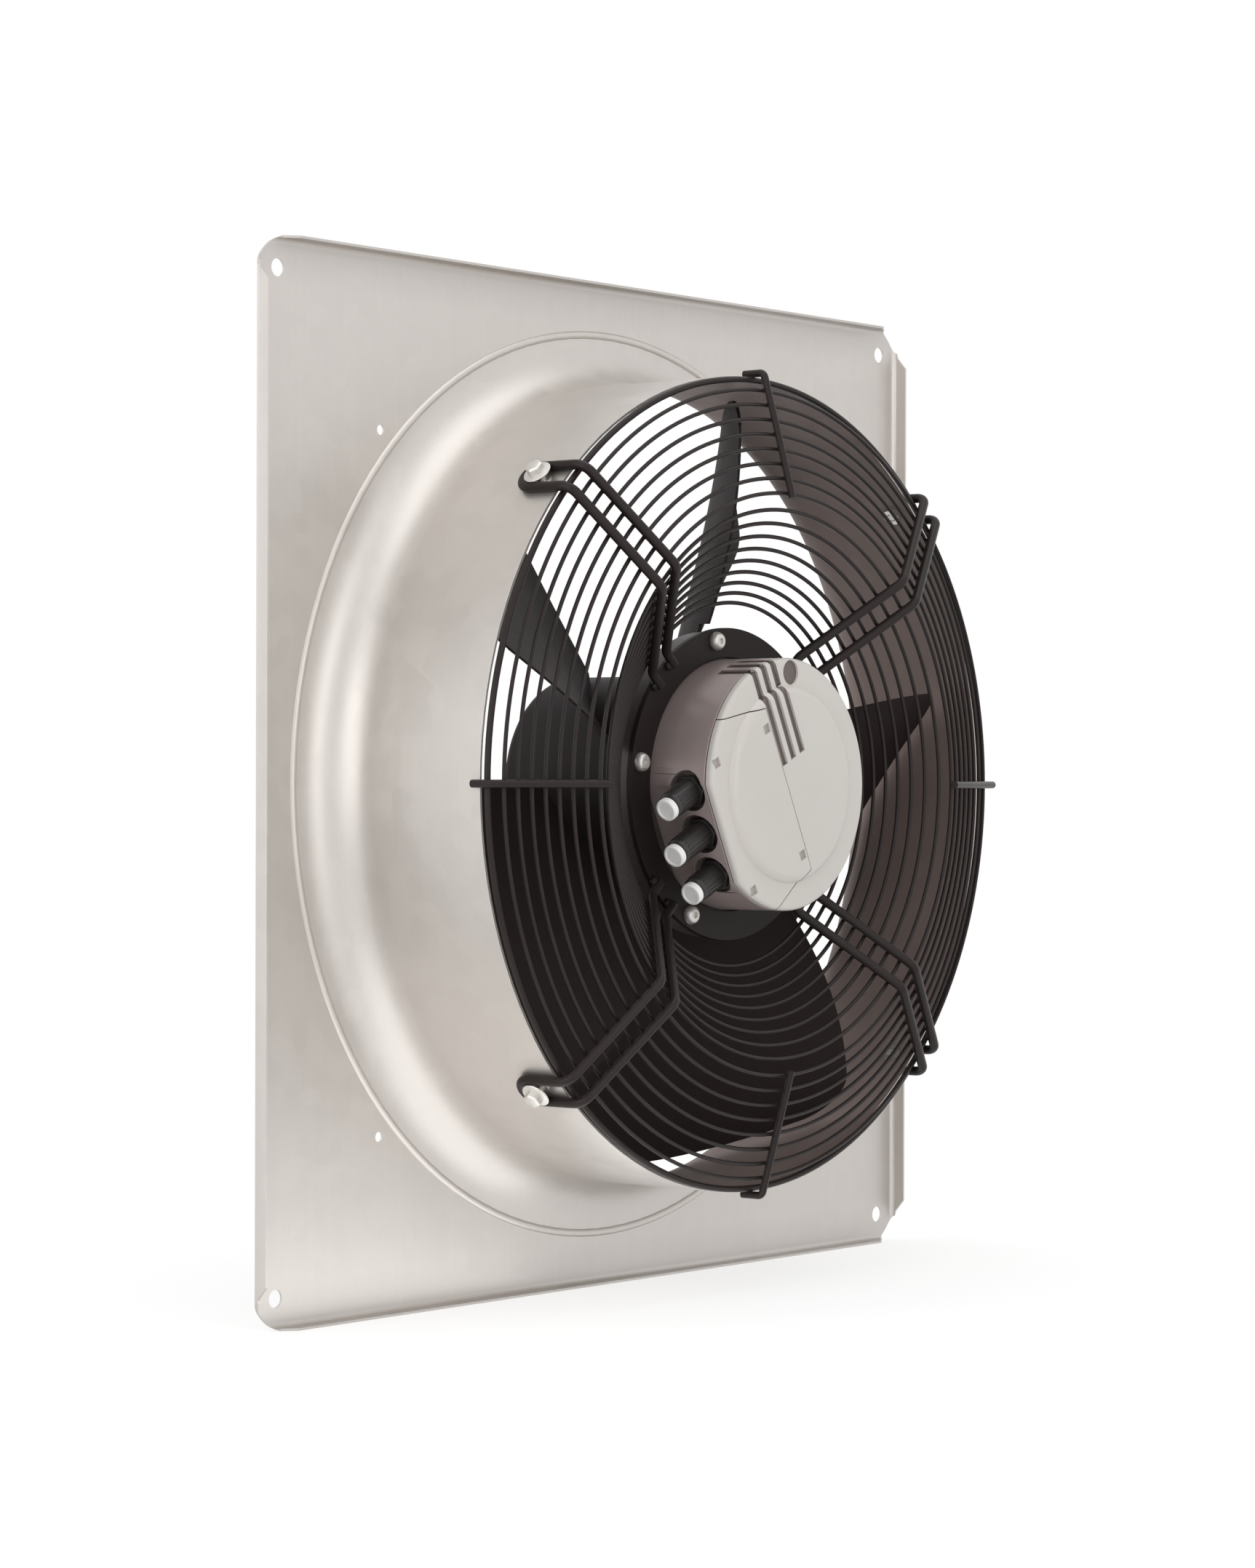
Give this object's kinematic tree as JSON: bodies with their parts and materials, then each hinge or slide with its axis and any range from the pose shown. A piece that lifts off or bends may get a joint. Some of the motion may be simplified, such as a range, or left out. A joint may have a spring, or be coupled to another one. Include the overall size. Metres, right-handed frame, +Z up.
{
  "type": "axial wall fan",
  "caption": "Axial wall fan: square galvanised plate with a drawn nozzle, black dished wire guard that carries an external-rotor motor, wide twisted blades and a housing with cable glands.",
  "frame": {"origin": "on the fan's axis, in the plane of the wall plate's back", "axes": "+Z up, +Y along the fan's axis from the motor side to the wall side, +X to the right as seen from the motor side"},
  "size_m": [0.653, 0.1913, 0.653],
  "materials": {
    "galvanised_sheet": "satin",
    "black_coated_wire": "satin",
    "black_coated_flange": "satin",
    "black_coated_blade": "satin",
    "dark_rotor": "satin",
    "cast_aluminium": "satin",
    "pale_cover": "matte",
    "zinc_fastener": "satin",
    "black_gland": "matte",
    "white_plug": "satin",
    "black_seal": "matte",
    "bearing_steel": "polished",
    "bearing_cage": "matte",
    "spring_steel": "satin",
    "core_steel": "satin",
    "copper_winding": "gloss",
    "ferrite_magnet": "matte",
    "board_green": "satin",
    "black_component": "gloss",
    "grey_terminal": "matte"
  },
  "bodies": {
    "fan_frame": {"access_plug": "black_gland", "bearing_circlip": "spring_steel", "bearing_spring": "spring_steel", "board_spacers": "grey_terminal", "bottom_guard_stiffener": "black_coated_wire", "capacitors": "black_component", "circuit_board": "board_green", "cover_seal": "black_seal", "electronics_housing": "cast_aluminium", "flange_ring": "black_coated_flange", "flange_screws": "zinc_fastener", "front_bearing_outer_race": "bearing_steel", "front_cover": "pale_cover", "gland_lock_nuts": "black_gland", "gland_seals": "black_seal", "guard_inner_slope_rings": "black_coated_wire", "guard_outer_ring": "black_coated_wire", "guard_outer_slope_rings": "black_coated_wire", "guard_rivet_nuts": "zinc_fastener", "guard_screws": "zinc_fastener", "left_guard_stiffener": "black_coated_wire", "lower_gland_body": "black_gland", "lower_gland_plug": "white_plug", "lower_left_guard_arm": "black_coated_wire", "lower_right_guard_arm": "black_coated_wire", "middle_gland_body": "black_gland", "middle_gland_plug": "white_plug", "motor_flange": "cast_aluminium", "rear_bearing_outer_race": "bearing_steel", "right_guard_stiffener": "black_coated_wire", "stator_coils": "copper_winding", "stator_core": "core_steel", "terminal_block": "grey_terminal", "terminal_cover": "pale_cover", "top_guard_stiffener": "black_coated_wire", "upper_gland_body": "black_gland", "upper_gland_plug": "white_plug", "upper_left_guard_arm": "black_coated_wire", "upper_right_guard_arm": "black_coated_wire", "wall_plate": "galvanised_sheet", "winding_leads": "copper_winding"},
    "rotor": {"rotor_shaft": "bearing_steel", "rotor_can": "dark_rotor", "rotor_magnets": "ferrite_magnet", "impeller_hub": "dark_rotor", "fan_blade_1": "black_coated_blade", "fan_blade_2": "black_coated_blade", "fan_blade_3": "black_coated_blade", "fan_blade_4": "black_coated_blade", "fan_blade_5": "black_coated_blade", "hub_screws": "zinc_fastener", "front_bearing_inner_race": "bearing_steel", "rear_bearing_inner_race": "bearing_steel", "shaft_circlip": "spring_steel"},
    "front_bearing_set": {"front_bearing_balls": "bearing_steel", "front_bearing_cage": "bearing_cage"},
    "rear_bearing_set": {"rear_bearing_balls": "bearing_steel", "rear_bearing_cage": "bearing_cage"}
  },
  "joints": [
    {"name": "rotor_spin", "type": "hinge", "parent": "fan_frame", "child": "rotor", "pos_m": [0, 0, 0], "axis": [0, -1, 0], "continuous": true},
    {"name": "front_bearing_spin", "type": "hinge", "parent": "fan_frame", "child": "front_bearing_set", "pos_m": [0, -0.0895, 0], "axis": [0, -1, 0], "continuous": true},
    {"name": "rear_bearing_spin", "type": "hinge", "parent": "fan_frame", "child": "rear_bearing_set", "pos_m": [0, 0.0025, 0], "axis": [0, -1, 0], "continuous": true}
  ],
  "couplings": [
    {"joint": "front_bearing_spin", "follows": "rotor_spin", "ratio": 0.382},
    {"joint": "rear_bearing_spin", "follows": "rotor_spin", "ratio": 0.382}
  ]
}
